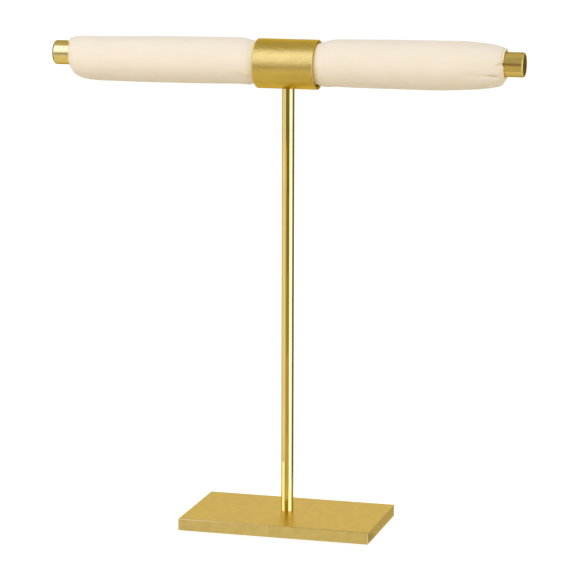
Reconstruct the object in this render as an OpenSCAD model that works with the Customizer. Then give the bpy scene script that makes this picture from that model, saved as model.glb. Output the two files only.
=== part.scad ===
// Ring display stand: a flat base, a slim post, and a padded bar pushed through a short sleeve.
// Millimetres. X runs along the bar, -Y is the front, Z is up.
// The origin is the middle of the pad's underside, where the stand rests.

/* [Base] */
// Width of the base plate, along the bar
base_w = 80; // [60:1:120]
// Depth of the base plate, front to back
base_d = 46; // [36:1:70]
// Thickness of the base plate
base_t = 5; // [4:0.5:8]
// Rounding of the base plate's edges
base_edge_r = 0.4; // [0.2:0.1:0.8]
// Thickness of the soft pad under the base
pad_t = 1; // [0.5:0.25:2]
// Distance from the plate's sides to the pad
pad_inset = 6; // [3:0.5:10]
// Corner radius of the pad
pad_corner_r = 3; // [1:0.5:6]

/* [Post] */
// Diameter of the post
post_d = 5; // [5:0.5:8]
// Height of the post, from the base plate to the sleeve
post_h = 175; // [100:5:260]

/* [Sleeve] */
// Outer diameter of the sleeve
sleeve_d = 20; // [19:0.5:26]
// Wall of the sleeve
sleeve_wall = 1.2; // [1:0.1:1.6]
// Length of the sleeve
sleeve_l = 25; // [18:1:34]
// Break of the sleeve's sharp edges
sleeve_break = 0.2; // [0.1:0.05:0.3]

/* [Bar] */
// Diameter of the bar
bar_d = 9.8; // [8:0.2:10.4]
// Length of the bar
bar_l = 195; // [160:1:240]
// Rounding of the bar's ends
bar_edge_r = 0.8; // [0.3:0.1:1.5]
// How far the middle of the bar lies to the right of the post
bar_shift = -1.5; // [-4:0.5:4]
// Bare end of the bar on the left
bare_left = 6; // [3:0.2:12]
// Bare end of the bar on the right
bare_right = 6.8; // [3:0.2:12]
// Padding and cloth pressed between the bar and the top of the sleeve
squeeze_t = 1.7; // [1.4:0.1:2.2]

/* [Padded roll] */
// Fullest diameter of the roll on the left
roll_d_left = 19; // [17:0.2:22]
// Fullest diameter of the roll on the right
roll_d_right = 19.6; // [17:0.2:22]
// Distance from the post to the fullest place on the left
belly_left = 38; // [30:1:60]
// Distance from the post to the fullest place on the right
belly_right = 58; // [30:1:60]
// Radius of the long curve along each belly
belly_curve = 2000; // [1500:100:4000]
// How far the roll hangs below the bar's axis, at the post
roll_drop = 1.4; // [0:0.1:2]
// Slope of the roll against the bar, in degrees
roll_tilt = 0.25; // [0:0.01:0.5]
// Length of the rounded shoulder on the left
shoulder_left = 10; // [8:1:26]
// Length of the rounded shoulder on the right
shoulder_right = 20; // [8:1:26]
// Length over which the roll swells out of the sleeve
neck_l = 8; // [4:0.5:12]

/* [Cover] */
// Thickness of the cover's cloth
cover_t = 0.5; // [0.3:0.05:0.7]
// Length of the drawn cuff that grips the bar
cuff_l = 0.6; // [0.6:0.1:2]
// Number of pleats gathered round each cuff
pleats = 18; // [12:1:20]
// Depth of the pleats at the cuff
pleat_depth = 0.8; // [0.3:0.1:1.2]
// Length over which the pleats die out
gather_l = 12; // [6:1:18]
// How far the pleats' edge waves in and out along the bar
hem_wave = 0.3; // [0:0.05:0.4]
// Depth of the soft folds behind the pleats
fold_depth = 0.25; // [0:0.05:0.5]
// Number of soft folds round the roll
folds = 5; // [3:1:8]
// Length over which the soft folds die out
fold_l = 20; // [12:1:28]
// Depth of the long crease at the right cuff
crease_depth = 0.6; // [0:0.1:0.9]
// Length of the long crease
crease_l = 20; // [10:1:30]
// Angle of the crease above the front of the roll, in degrees
crease_at = -16; // [-60:1:60]
// Diameter of the thread that draws the cuff in
thread_d = 0.4; // [0.3:0.05:0.6]

/* [Screws] */
// Thread diameter of both screws
screw_d = 3; // [2.5:0.1:3]
// Length of thread that each screw has in the post
screw_grip = 7; // [5:0.5:12]
// Head diameter of the countersunk screw in the base
sunk_head_d = 6; // [5.5:0.1:7]
// Head diameter of the button screw in the sleeve
button_head_d = 5.7; // [5:0.1:6]
// Head height of the button screw
button_head_h = 1.65; // [1.2:0.05:1.8]
// Width across flats of the hexagon sockets
socket_af = 2; // [1.5:0.1:2]
// Depth of the hexagon sockets
socket_depth = 1; // [0.8:0.05:1.1]

/* [Fits] */
// Play round a screw in a drilled hole, on the diameter
hole_play = 0.2; // [0.1:0.05:0.3]
// Play between a screw and its tapped hole, on the diameter
thread_play = 0.1; // [0.05:0.05:0.2]
// Gap left where a curved seat meets its neighbour
seat_gap = 0.05; // [0.02:0.01:0.08]
// Gap left between the soft layers
soft_gap = 0.15; // [0.1:0.05:0.2]
// Depth of the tapped holes past the screws' ends
tap_spare = 1; // [0.5:0.5:3]

/* [Hidden] */
$fn = 96;
eps = 0.01;

// Heights, stacked from the resting face up
plate_z = pad_t;
post_z = plate_z + base_t;
sleeve_z = post_z + post_h + sleeve_d / 2;
sleeve_ri = sleeve_d / 2 - sleeve_wall;
bar_z = sleeve_z + sleeve_ri - squeeze_t - bar_d / 2;

// Screws and their seats
sunk_h = (sunk_head_d - screw_d) / 2;
button_r = button_head_d / 2;
button_seat = sqrt(pow(sleeve_ri, 2) - pow(button_r, 2)) - seat_gap;
button_z = sleeve_z - button_seat;
button_rim = 0.2;
button_crown = button_head_h - button_rim;
crown_r = (pow(button_r, 2) + pow(button_crown, 2)) / (2 * button_crown);
tap_d = screw_d + thread_play;
drill_d = screw_d + hole_play;
socket_d = socket_af / cos(30);

// Lists hold the left value first and the right one second
reach = [bar_l / 2 - bar_shift - bare_left, bar_l / 2 + bar_shift - bare_right];
roll_d = [roll_d_left, roll_d_right];
belly_at = [belly_left, belly_right];
shoulder_l = [shoulder_left, shoulder_right];

// Radii of the roll where the sleeve and the cuff hold it
neck_r = sleeve_ri - soft_gap;
thread_ring_r = (bar_d + thread_d) / 2 + seat_gap;
cuff_ri = thread_ring_r + thread_d / 2 + seat_gap;
hem_r = cuff_ri + cover_t + pleat_depth / 2;

// The button screw's head presses a dent into the roll
dent_depth = sleeve_ri - button_seat + button_head_h;
dent_in = button_r + 0.5;
dent_out = dent_in + 3;

// Four corners make one pleat: ridge, flank, valley, flank
cloth_n = 4 * pleats;
padding_n = 36;
crease_w = 8;

// Where the rings of the soft layers lie: from the cuff in, from the sleeve out, and round the dent
cloth_steps = [0, 0.5, 1, 1.5, 2.4, 3.8, 5.8, 8.5, 12, 17];
lining_steps = [0, 1, 1.8, 4.5, 9, 17];
padding_steps = [2.2, 4.5, 9, 17];
neck_steps = [1, 0.5, 0.15, 0];
lining_neck_steps = [1, 0.3, 0];
dent_steps = [dent_out, (dent_in + dent_out) / 2, dent_in];
belly_steps = 2;
cuff_scale = cuff_l / cloth_steps[2];

// Quarter of an ellipse, from a steep start at 0 to a level end at 1
function bulge(t) = sqrt(1 - pow(1 - min(max(t, 0), 1), 2));

// Smooth step from 0 to 1
function ease(t) = let (c = min(max(t, 0), 1)) c * c * (3 - 2 * c);

function side(x) = x < 0 ? 0 : 1;
function from_hem(x) = reach[side(x)] - abs(x);
function from_rim(x) = abs(x) - sleeve_l / 2;
function shoulder(x) = bulge((from_hem(x) - cuff_l) / shoulder_l[side(x)]);

// Radius of the roll at x, without folds
function belly_r(x) = roll_d[side(x)] / 2 - pow(abs(x) - belly_at[side(x)], 2) / (2 * belly_curve);
function open_r(x) = hem_r + (belly_r(x) - hem_r) * shoulder(x);
function roll_r(x) = neck_r + (open_r(x) - neck_r) * bulge(from_rim(x) / neck_l);

// Height of the roll's middle at x
function open_z(x) = bar_z - (roll_drop - x * tan(roll_tilt)) * shoulder(x);
function roll_z(x) = sleeve_z + (open_z(x) - sleeve_z) * ease(from_rim(x) / neck_l);

// Depth of each kind of fold along the roll, largest near the cuff
function pleat_fade(x) = pow(1 - min(from_hem(x) / gather_l, 1), 1.5);
function fold_fade(x) = sin(180 * min(from_hem(x) / fold_l, 1));
function crease_fade(x) = x < 0 ? 0 : sin(180 * min(from_hem(x) / crease_l, 1));

// Angle of corner k of n round the roll, 0 at the front and 90 on top, unevenly spaced as cloth is
function corner(k, n) = let (t = 360 * k / n) t + 5 * sin(2 * t + 40) + 3 * sin(3 * t + 100);

function pleat(x, k) = pleat_depth / 2 * cos(90 * k) * (1 - 0.3 * abs(sin(47 * k))) * pleat_fade(x);
function fold(x, a) = fold_depth * cos(folds * a + 70 * sin(a + 30)) * fold_fade(x);
function off_crease(a) = abs((a - crease_at + 540) % 360 - 180);
function crease(x, a) = -crease_depth * exp(-pow(off_crease(a) / crease_w, 2)) * crease_fade(x);

// Dent over the screw's head; spread widens it for the layers underneath
function arc_off(a) = neck_r * (a - 270) * PI / 180;
function dent(x, a, spread) =
    dent_depth * ease((dent_out + spread - norm([x, arc_off(a)])) / (dent_out - dent_in));

// One ring of the cloth, inset from its outer face and never inside a floor radius
function cloth_ring(x, inset, floor_r) = [
    for (k = [0 : cloth_n - 1])
        let (
            a = corner(k, cloth_n),
            relief = pleat(x, k) + fold(x, a) + crease(x, a) - dent(x, a, 0),
            r = max(roll_r(x) + relief - inset, floor_r),
            wave = hem_wave * cos(90 * k) * max(1 - from_hem(x) / cuff_l, 0)
        )
        [x + sign(x) * wave, -r * cos(a), roll_z(x) + r * sin(a)]
];

// One ring of the padding's outer face, clear of every fold of the cloth
function padding_ring(x) = [
    for (k = [0 : padding_n - 1])
        let (
            a = corner(k, padding_n),
            relief = pleat_depth / 2 * pleat_fade(x) + fold_depth * fold_fade(x) + crease_depth * crease_fade(x),
            r = roll_r(x) - cover_t - soft_gap - relief - dent(x, a, 0.8)
        )
        [x, -r * cos(a), roll_z(x) + r * sin(a)]
];

// One ring of the padding's bore, round the bar
function bore_ring(x) = [
    for (k = [0 : padding_n - 1])
        let (a = corner(k, padding_n), r = bar_d / 2 + soft_gap)
        [x, -r * cos(a), bar_z + r * sin(a)]
];

function flip(list) = [for (i = [len(list) - 1 : -1 : 0]) list[i]];

// Distances from the post of one side's rings, from the cuff to the sleeve
function belly_places(s, first, last) = [
    for (i = [1 : belly_steps]) first + (last - first) * i / (belly_steps + 1)
];
function side_places(s, ends, necks) =
    let (
        outer = [for (u = ends) reach[s] - u * cuff_scale],
        inner = [for (v = necks) sleeve_l / 2 + v * neck_l]
    )
    concat(outer, belly_places(s, outer[len(outer) - 1], inner[0]), inner, dent_steps);

// Places of all the rings from left to right
function places(ends, necks) =
    concat([for (x = side_places(0, ends, necks)) -x], [0], flip(side_places(1, ends, necks)));

// Flat plate with rounded corners, lying on z = 0
module rounded_plate(w, d, h, r) {
    linear_extrude(h) rounded_outline(w, d, r);
}

// Rectangle with true arcs at its corners
module rounded_outline(w, d, r) {
    square([w - 2 * r, d], center = true);
    square([w, d - 2 * r], center = true);
    for (x = [-1, 1], y = [-1, 1])
        translate([x * (w / 2 - r), y * (d / 2 - r)])
            circle(r);
}

// Block with every edge rounded, standing on z = 0
module eased_block(w, d, h, r) {
    intersection() {
        rounded_plate(w, d, h, r);
        translate([0, d / 2, h / 2])
            rotate([90, 0, 0])
                rounded_plate(w, h, d, r);
        translate([-w / 2, 0, h / 2])
            rotate([90, 0, 90])
                rounded_plate(d, h, w, r);
    }
}

// Turns a profile drawn as radius against length round the X axis
module lathe_x() {
    rotate([0, 90, 0]) rotate_extrude() children();
}

// Closed tube of cloth or padding, from rings that run along the outside and back along the inside
module ring_tube(rings, n) {
    m = len(rings);
    polyhedron(
        points = [for (ring = rings) each ring],
        faces = [
            for (j = [0 : m - 1], k = [0 : n - 1])
                let (
                    a = j * n + k,
                    b = j * n + (k + 1) % n,
                    c = ((j + 1) % m) * n + (k + 1) % n,
                    d = ((j + 1) % m) * n + k
                )
                each [[a, b, c], [a, c, d]]
        ],
        convexity = 10
    );
}

// Hexagon socket cut down from z = 0
module socket() {
    translate([0, 0, -socket_depth])
        cylinder(h = socket_depth + eps, d = socket_d, $fn = 6);
}

// Soft pad glued under the plate, over the screw's head
module base_pad() {
    color("#2b2b2b")
        rounded_plate(base_w - 2 * pad_inset, base_d - 2 * pad_inset, pad_t, pad_corner_r);
}

// Solid metal plate, countersunk from below
module base_plate() {
    color("#cfae58")
        translate([0, 0, plate_z])
            difference() {
                eased_block(base_w, base_d, base_t, base_edge_r);
                translate([0, 0, -eps])
                    cylinder(h = base_t + 2 * eps, d = drill_d);
                translate([0, 0, -eps])
                    cylinder(h = sunk_h, d1 = sunk_head_d + hole_play, d2 = drill_d);
            }
}

// Countersunk screw that pulls the post down on the plate
module base_screw() {
    color("#b9bcc0")
        translate([0, 0, plate_z + seat_gap])
            difference() {
                union() {
                    cylinder(h = sunk_h, d1 = sunk_head_d, d2 = screw_d);
                    cylinder(h = base_t + screw_grip, d = screw_d);
                }
                mirror([0, 0, 1]) socket();
            }
}

// Slim rod, tapped at both ends and coped to the sleeve on top
module post() {
    color("#d2b04e")
        difference() {
            translate([0, 0, post_z])
                cylinder(h = post_h + post_d / 2, d = post_d);
            translate([-post_d, 0, sleeve_z])
                rotate([0, 90, 0])
                    cylinder(h = 2 * post_d, d = sleeve_d + 2 * seat_gap);
            translate([0, 0, post_z - eps])
                cylinder(h = screw_grip + tap_spare, d = tap_d);
            translate([0, 0, post_z + post_h - screw_grip - tap_spare])
                cylinder(h = screw_grip + tap_spare + post_d, d = tap_d);
        }
}

// Short tube that holds the padded roll, drilled below for its screw
module sleeve() {
    color("#c9a648")
        translate([0, 0, sleeve_z])
            difference() {
                lathe_x()
                    translate([sleeve_ri, -sleeve_l / 2])
                        polygon([
                            [sleeve_break, 0],
                            [sleeve_wall - sleeve_break, 0],
                            [sleeve_wall, sleeve_break],
                            [sleeve_wall, sleeve_l - sleeve_break],
                            [sleeve_wall - sleeve_break, sleeve_l],
                            [sleeve_break, sleeve_l],
                            [0, sleeve_l - sleeve_break],
                            [0, sleeve_break]
                        ]);
                translate([0, 0, -sleeve_d])
                    cylinder(h = sleeve_d, d = drill_d);
            }
}

// Button screw that pulls the sleeve down on the post
module sleeve_screw() {
    color("#b9bcc0")
        translate([0, 0, button_z])
            difference() {
                union() {
                    cylinder(h = button_rim, d = button_head_d);
                    translate([0, 0, button_rim])
                        rotate_extrude()
                            intersection() {
                                translate([0, button_crown - crown_r]) circle(crown_r);
                                square([button_r, button_crown]);
                            }
                    translate([0, 0, -(button_z - post_z - post_h) - screw_grip])
                        cylinder(h = button_z - post_z - post_h + screw_grip + eps, d = screw_d);
                }
                translate([0, 0, button_head_h]) socket();
            }
}

// Round bar inside the roll, with softened ends
module bar() {
    color("#cdaa4b")
        translate([bar_shift, 0, bar_z])
            lathe_x()
                translate([0, -bar_l / 2]) {
                    square([bar_d / 2 - bar_edge_r, bar_l]);
                    translate([0, bar_edge_r])
                        square([bar_d / 2, bar_l - 2 * bar_edge_r]);
                    for (y = [bar_edge_r, bar_l - bar_edge_r])
                        translate([bar_d / 2 - bar_edge_r, y])
                            circle(bar_edge_r, $fn = 48);
                }
}

// Foam tube round the bar, squeezed where the sleeve holds it
module padding() {
    spots = places(padding_steps, lining_neck_steps);
    color("#f2efe6")
        ring_tube(
            concat(
                [for (x = spots) padding_ring(x)],
                [bore_ring(spots[len(spots) - 1]), bore_ring(spots[0])]
            ),
            padding_n
        );
}

// Cloth tube over the padding, gathered in pleats round the bar at both ends
module cover() {
    color("#eee2cc")
        ring_tube(
            concat(
                [for (x = places(cloth_steps, neck_steps)) cloth_ring(x, 0, cuff_ri + cover_t)],
                [for (x = flip(places(lining_steps, lining_neck_steps))) cloth_ring(x, cover_t, cuff_ri)]
            ),
            cloth_n
        );
}

// Thread that draws a cuff in, lying between the cuff and the bar
module draw_thread(x) {
    color("#e8dcc4")
        translate([x, 0, bar_z])
            lathe_x()
                translate([thread_ring_r, 0])
                    circle(d = thread_d, $fn = 24);
}

module draw_thread_left() {
    draw_thread(-reach[0] + cuff_l / 2);
}

module draw_thread_right() {
    draw_thread(reach[1] - cuff_l / 2);
}

base_pad();
base_plate();
base_screw();
post();
sleeve();
sleeve_screw();
bar();
padding();
cover();
draw_thread_left();
draw_thread_right();
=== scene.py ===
"""Ring display stand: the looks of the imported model, in metres, in the model's own frame."""

import logging
import math
from collections.abc import Iterable
from dataclasses import dataclass, field
from enum import Enum

import bmesh
import bpy
import numpy as np
from mathutils import Matrix, Vector, noise


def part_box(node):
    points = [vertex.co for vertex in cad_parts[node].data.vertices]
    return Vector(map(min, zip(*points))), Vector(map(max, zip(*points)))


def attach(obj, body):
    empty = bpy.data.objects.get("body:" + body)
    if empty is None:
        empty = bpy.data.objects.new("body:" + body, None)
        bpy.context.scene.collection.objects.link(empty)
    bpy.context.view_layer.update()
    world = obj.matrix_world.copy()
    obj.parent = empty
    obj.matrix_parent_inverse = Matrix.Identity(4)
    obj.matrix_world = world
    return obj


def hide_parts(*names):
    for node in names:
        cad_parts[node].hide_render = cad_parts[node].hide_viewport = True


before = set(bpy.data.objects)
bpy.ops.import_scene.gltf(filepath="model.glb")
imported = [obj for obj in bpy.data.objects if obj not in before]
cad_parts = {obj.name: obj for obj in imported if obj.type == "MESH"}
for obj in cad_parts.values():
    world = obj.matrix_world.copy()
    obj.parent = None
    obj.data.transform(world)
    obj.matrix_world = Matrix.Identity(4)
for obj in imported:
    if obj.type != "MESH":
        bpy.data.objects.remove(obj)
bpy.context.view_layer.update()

LOG = logging.getLogger("ring_stand")
MM = 0.001
SAME_POINT = 0.001 * MM
BODY = "root"

Color = tuple[float, float, float]
# What a node's input takes: the output of another node, or a value.
Feed = bpy.types.NodeSocket | float | tuple[float, ...]


def centre_of(node: str) -> Vector:
    """Returns the middle of a CAD node's box."""
    low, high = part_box(node)
    return (low + high) / 2


def size_of(node: str) -> Vector:
    """Returns the edge lengths of a CAD node's box."""
    low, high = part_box(node)
    return high - low


def bulge(share: float) -> float:
    """Quarter of an ellipse, from a steep start at 0 to a level end at 1.

    Args:
        share: Place along the quarter, held between 0 and 1.

    Returns:
        Height of the quarter there, from 0 to 1.
    """
    return math.sqrt(1 - (1 - min(max(share, 0.0), 1.0)) ** 2)


def ease(share: float) -> float:
    """Smooth step.

    Args:
        share: Place along the step, held between 0 and 1.

    Returns:
        Height of the step there, from 0 to 1.
    """
    held = min(max(share, 0.0), 1.0)
    return held * held * (3 - 2 * held)


def wrapped(turn: float) -> float:
    """Returns the same angle, between half a turn back and half a turn on."""
    return (turn + math.pi) % (2 * math.pi) - math.pi


def noise_spot(turn: float, spread: float, depth: float) -> Vector:
    """Returns the point of the noise for an angle round the roll, on a circle that closes."""
    return Vector((math.cos(turn) * spread, math.sin(turn) * spread, depth))


class Side(Enum):
    """The two ends of the stand's bar, with their direction along X."""

    LEFT = -1
    RIGHT = 1


class NodeDesk:
    """Places and links the nodes of one material or group."""

    def __init__(self, tree: bpy.types.NodeTree) -> None:
        """Keeps the tree that nodes are placed in."""
        self.tree = tree

    def place(self, kind: str, inputs: dict[str | int, Feed] | None = None,
              **settings: object) -> bpy.types.Node:
        """Adds a node and fills it in.

        Args:
            kind: The node's type, such as "ShaderNodeMath".
            inputs: Input name or number to a value, or to the output socket that feeds it.
            **settings: Attributes of the node, such as operation="ADD".

        Returns:
            The new node.
        """
        node = self.tree.nodes.new(kind)
        for name, value in settings.items():
            setattr(node, name, value)
        for name, value in (inputs or {}).items():
            if isinstance(value, bpy.types.NodeSocket):
                self.tree.links.new(value, node.inputs[name])
            else:
                node.inputs[name].default_value = value
        return node

    def math(self, operation: str, *values: Feed) -> bpy.types.NodeSocket:
        """Adds a Math node and returns its output."""
        return self.place("ShaderNodeMath", dict(enumerate(values)), operation=operation).outputs[0]

    def scaled(self, vector: bpy.types.NodeSocket, factor: Feed) -> bpy.types.NodeSocket:
        """Multiplies a vector or colour by a factor and returns the result."""
        inputs = {0: vector, "Scale": factor}
        return self.place("ShaderNodeVectorMath", inputs, operation="SCALE").outputs[0]

    def noise(self, vector: bpy.types.NodeSocket, scale: float, detail: float) -> bpy.types.NodeSocket:
        """Adds a Noise Texture and returns its value."""
        inputs = {"Vector": vector, "Scale": scale, "Detail": detail}
        return self.place("ShaderNodeTexNoise", inputs).outputs["Fac"]

    def mix_color(self, factor: Feed, first: Feed, second: Feed) -> bpy.types.NodeSocket:
        """Mixes two colours, with the factor as the share of the second."""
        inputs = {0: factor, 6: first, 7: second}
        return self.place("ShaderNodeMix", inputs, data_type="RGBA").outputs[2]

    def spread(self, value: bpy.types.NodeSocket, low: Feed, high: Feed, start: float = 0.3,
               end: float = 0.7) -> bpy.types.NodeSocket:
        """Maps a value between start and end to the range from low to high."""
        inputs = {"Value": value, "From Min": start, "From Max": end, "To Min": low, "To Max": high}
        return self.place("ShaderNodeMapRange", inputs).outputs[0]


def new_group(name: str, inputs: dict[str, tuple[str, object]], outputs: dict[str, str]) -> NodeDesk:
    """Starts a shader node group.

    Args:
        name: The group's name.
        inputs: Input name to its socket type and default value.
        outputs: Output name to its socket type.

    Returns:
        A desk on the group's tree, with its Group Input and Group Output in place.
    """
    tree = bpy.data.node_groups.new(name, "ShaderNodeTree")
    for label, (kind, value) in inputs.items():
        socket = tree.interface.new_socket(name=label, in_out="INPUT", socket_type=kind)
        if value is not None:
            socket.default_value = value
    for label, kind in outputs.items():
        tree.interface.new_socket(name=label, in_out="OUTPUT", socket_type=kind)
    return NodeDesk(tree)


def metal_grain_group() -> bpy.types.NodeTree:
    """Builds the fine sparkle of satin plating: flecks in the colour, and a grain in gloss and height.

    Returns:
        The group, with outputs Color, Roughness and Height.
    """
    desk = new_group(
        "metal_grain",
        {
            "Vector": ("NodeSocketVector", None),
            "Color": ("NodeSocketColor", (0.5, 0.35, 0.1, 1)),
            "Fleck Color": ("NodeSocketColor", (1, 0.9, 0.6, 1)),
            "Grain Size": ("NodeSocketFloat", 0.3 * MM),
            "Fleck Share": ("NodeSocketFloat", 0.3),
            "Roughness": ("NodeSocketFloat", 0.3),
            "Roughness Spread": ("NodeSocketFloat", 0.1),
        },
        {"Color": "NodeSocketColor", "Roughness": "NodeSocketFloat", "Height": "NodeSocketFloat"},
    )
    given = desk.place("NodeGroupInput").outputs
    where = desk.scaled(given["Vector"], desk.math("DIVIDE", 1.0, given["Grain Size"]))
    grain = desk.noise(where, 1.0, 3.0)
    cloud = desk.noise(where, 0.12, 2.0)
    fleck = desk.spread(grain, 0.0, given["Fleck Share"], 0.52, 0.72)
    tinted = desk.scaled(given["Color"], desk.spread(cloud, 0.93, 1.05))
    color = desk.mix_color(fleck, tinted, given["Fleck Color"])
    swing = desk.math("MULTIPLY", desk.math("SUBTRACT", grain, 0.5), given["Roughness Spread"])
    rough = desk.math("ADD", given["Roughness"], swing)
    desk.place("NodeGroupOutput", {"Color": color, "Roughness": rough, "Height": grain})
    return desk.tree


def soft_nap_group() -> bpy.types.NodeTree:
    """Builds the short nap of soft materials: faint clouds in the colour, and fine fibres in height.

    Returns:
        The group, with outputs Color, Roughness and Height.
    """
    desk = new_group(
        "soft_nap",
        {
            "Vector": ("NodeSocketVector", None),
            "Color": ("NodeSocketColor", (0.8, 0.75, 0.65, 1)),
            "Shade Color": ("NodeSocketColor", (0.75, 0.68, 0.55, 1)),
            "Cloud Size": ("NodeSocketFloat", 6 * MM),
            "Fibre Size": ("NodeSocketFloat", 0.25 * MM),
            "Cloud Share": ("NodeSocketFloat", 0.3),
            "Roughness": ("NodeSocketFloat", 0.85),
        },
        {"Color": "NodeSocketColor", "Roughness": "NodeSocketFloat", "Height": "NodeSocketFloat"},
    )
    given = desk.place("NodeGroupInput").outputs
    wide = desk.scaled(given["Vector"], desk.math("DIVIDE", 1.0, given["Cloud Size"]))
    thin = desk.scaled(given["Vector"], desk.math("DIVIDE", 1.0, given["Fibre Size"]))
    cloud = desk.spread(desk.noise(wide, 1.0, 3.0), 0.0, given["Cloud Share"])
    fibre = desk.noise(thin, 1.0, 4.0)
    color = desk.mix_color(cloud, given["Color"], given["Shade Color"])
    swing = desk.math("MULTIPLY", desk.math("SUBTRACT", fibre, 0.5), 0.12)
    rough = desk.math("ADD", given["Roughness"], swing)
    desk.place("NodeGroupOutput", {"Color": color, "Roughness": rough, "Height": fibre})
    return desk.tree


METAL_GRAIN = metal_grain_group()
SOFT_NAP = soft_nap_group()


def blank_material(name: str) -> tuple[bpy.types.Material, NodeDesk]:
    """Starts a material.

    Args:
        name: The material's name.

    Returns:
        The material, and a desk on its empty tree.
    """
    made = bpy.data.materials.new(name)
    made.use_nodes = True
    made.node_tree.nodes.clear()
    return made, NodeDesk(made.node_tree)


@dataclass(frozen=True)
class MetalFinish:
    """A satin plated or zinc plated metal.

    The grain is stretched by the given factors along X, Y and Z, as on a drawn rod.
    """

    name: str
    color: Color
    fleck: Color
    grain: float = 0.32 * MM
    stretch: tuple[float, float, float] = (1, 1, 1)
    fleck_share: float = 0.3
    roughness: float = 0.3
    roughness_spread: float = 0.1
    bump: float = 0.012 * MM
    edge: Color = (0.85, 0.66, 0.28)

    def material(self) -> bpy.types.Material:
        """Builds the material.

        Returns:
            A metal whose colour, gloss and height carry the plating's grain.
        """
        made, desk = blank_material(self.name)
        where = desk.place("ShaderNodeTexCoord").outputs["Object"]
        drawn = desk.place("ShaderNodeMapping", {"Vector": where, "Scale": self.stretch}).outputs[0]
        plating = {
            "Vector": drawn,
            "Color": (*self.color, 1),
            "Fleck Color": (*self.fleck, 1),
            "Grain Size": self.grain,
            "Fleck Share": self.fleck_share,
            "Roughness": self.roughness,
            "Roughness Spread": self.roughness_spread,
        }
        grain = desk.place("ShaderNodeGroup", plating, node_tree=METAL_GRAIN)
        bump = desk.place("ShaderNodeBump", {"Height": grain.outputs["Height"], "Distance": self.bump})
        metal = desk.place(
            "ShaderNodeBsdfPrincipled",
            {
                "Base Color": grain.outputs["Color"],
                "Roughness": grain.outputs["Roughness"],
                "Normal": bump.outputs[0],
                "Metallic": 1.0,
                "Specular Tint": (*self.edge, 1),
            },
        )
        desk.place("ShaderNodeOutputMaterial", {"Surface": metal.outputs[0]})
        return made


@dataclass(frozen=True)
class SoftFinish:
    """A cloth, thread, wadding or foam with a short nap."""

    name: str
    color: Color
    shade: Color
    cloud: float = 7 * MM
    fibre: float = 0.25 * MM
    cloud_share: float = 0.4
    roughness: float = 0.85
    bump: float = 0.04 * MM
    sheen: float = 0.0
    sheen_tint: Color = (1, 1, 1)
    # Painted light: a warm colour mixed into the cloth, standing in for the gold's light thrown on it.
    painted_glow_color: Color | None = None

    def material(self) -> bpy.types.Material:
        """Builds the material.

        Returns:
            A matt material with faint clouds of colour and a fine nap. Where the piece's attribute
            says so, its colour is mixed towards a warm one: painted light, for the gold's light on the
            cloth.
        """
        made, desk = blank_material(self.name)
        fibres = {
            "Vector": desk.place("ShaderNodeTexCoord").outputs["Object"],
            "Color": (*self.color, 1),
            "Shade Color": (*self.shade, 1),
            "Cloud Size": self.cloud,
            "Fibre Size": self.fibre,
            "Cloud Share": self.cloud_share,
            "Roughness": self.roughness,
        }
        nap = desk.place("ShaderNodeGroup", fibres, node_tree=SOFT_NAP)
        bump = desk.place("ShaderNodeBump", {"Height": nap.outputs["Height"], "Distance": self.bump})
        color = nap.outputs["Color"]
        # Painted light: the gold's warm light on the cloth, mixed into its colour by a per-point share.
        if self.painted_glow_color:
            painted_glow = desk.place("ShaderNodeAttribute", attribute_name="painted_glow").outputs["Fac"]
            color = desk.mix_color(painted_glow, color, (*self.painted_glow_color, 1))
        cloth = desk.place(
            "ShaderNodeBsdfPrincipled",
            {
                "Base Color": color,
                "Roughness": nap.outputs["Roughness"],
                "Normal": bump.outputs[0],
                "Specular IOR Level": 0.25,
                "Sheen Weight": self.sheen,
                "Sheen Roughness": 0.5,
                "Sheen Tint": (*self.sheen_tint, 1),
            },
        )
        desk.place("ShaderNodeOutputMaterial", {"Surface": cloth.outputs[0]})
        return made


Finish = MetalFinish | SoftFinish

GOLD_FLECK = (0.85, 0.64, 0.2)
BASE_GOLD = MetalFinish(
    "satin_gold_plate", (0.62, 0.44, 0.125), GOLD_FLECK, roughness=0.34, edge=(0.97, 0.84, 0.5),
    fleck_share=0.15,
)
POST_GOLD = MetalFinish(
    "satin_gold_rod", (0.57, 0.385, 0.06), GOLD_FLECK, stretch=(1, 1, 0.12), roughness=0.13,
    fleck_share=0.05, roughness_spread=0.04, bump=0.005 * MM,
)
SLEEVE_GOLD = MetalFinish(
    "satin_gold_sleeve", (0.6, 0.4, 0.065), GOLD_FLECK, grain=0.5 * MM, stretch=(0.6, 1, 1),
    roughness=0.33, edge=(0.92, 0.76, 0.4), fleck_share=0.1, roughness_spread=0.3, bump=0.08 * MM,
)
BAR_GOLD = MetalFinish(
    "satin_gold_bar", (0.69, 0.5, 0.13), GOLD_FLECK, roughness=0.24, edge=(0.4, 0.27, 0.1)
)
SCREW_ZINC = MetalFinish("zinc_plate", (0.62, 0.62, 0.63), (0.85, 0.85, 0.85), roughness=0.35)
COVER_CLOTH = SoftFinish(
    "cream_microfibre", (0.88, 0.79, 0.66), (0.84, 0.73, 0.58), sheen=0.25, sheen_tint=(1, 0.96, 0.9),
    # Painted light: the warm glow of gold light beside the sleeve's rims and at the hems.
    painted_glow_color=(1.0, 0.88, 0.62),
)
DRAW_THREAD = SoftFinish("cotton_thread", (0.82, 0.74, 0.6), (0.74, 0.65, 0.5), cloud=2 * MM)
WADDING = SoftFinish("white_wadding", (0.88, 0.86, 0.8), (0.8, 0.77, 0.7), cloud=4 * MM, bump=0.2 * MM)
PAD_FOAM = SoftFinish(
    "dark_foam", (0.03, 0.03, 0.032), (0.05, 0.05, 0.052), fibre=0.6 * MM, bump=0.1 * MM
)


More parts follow.
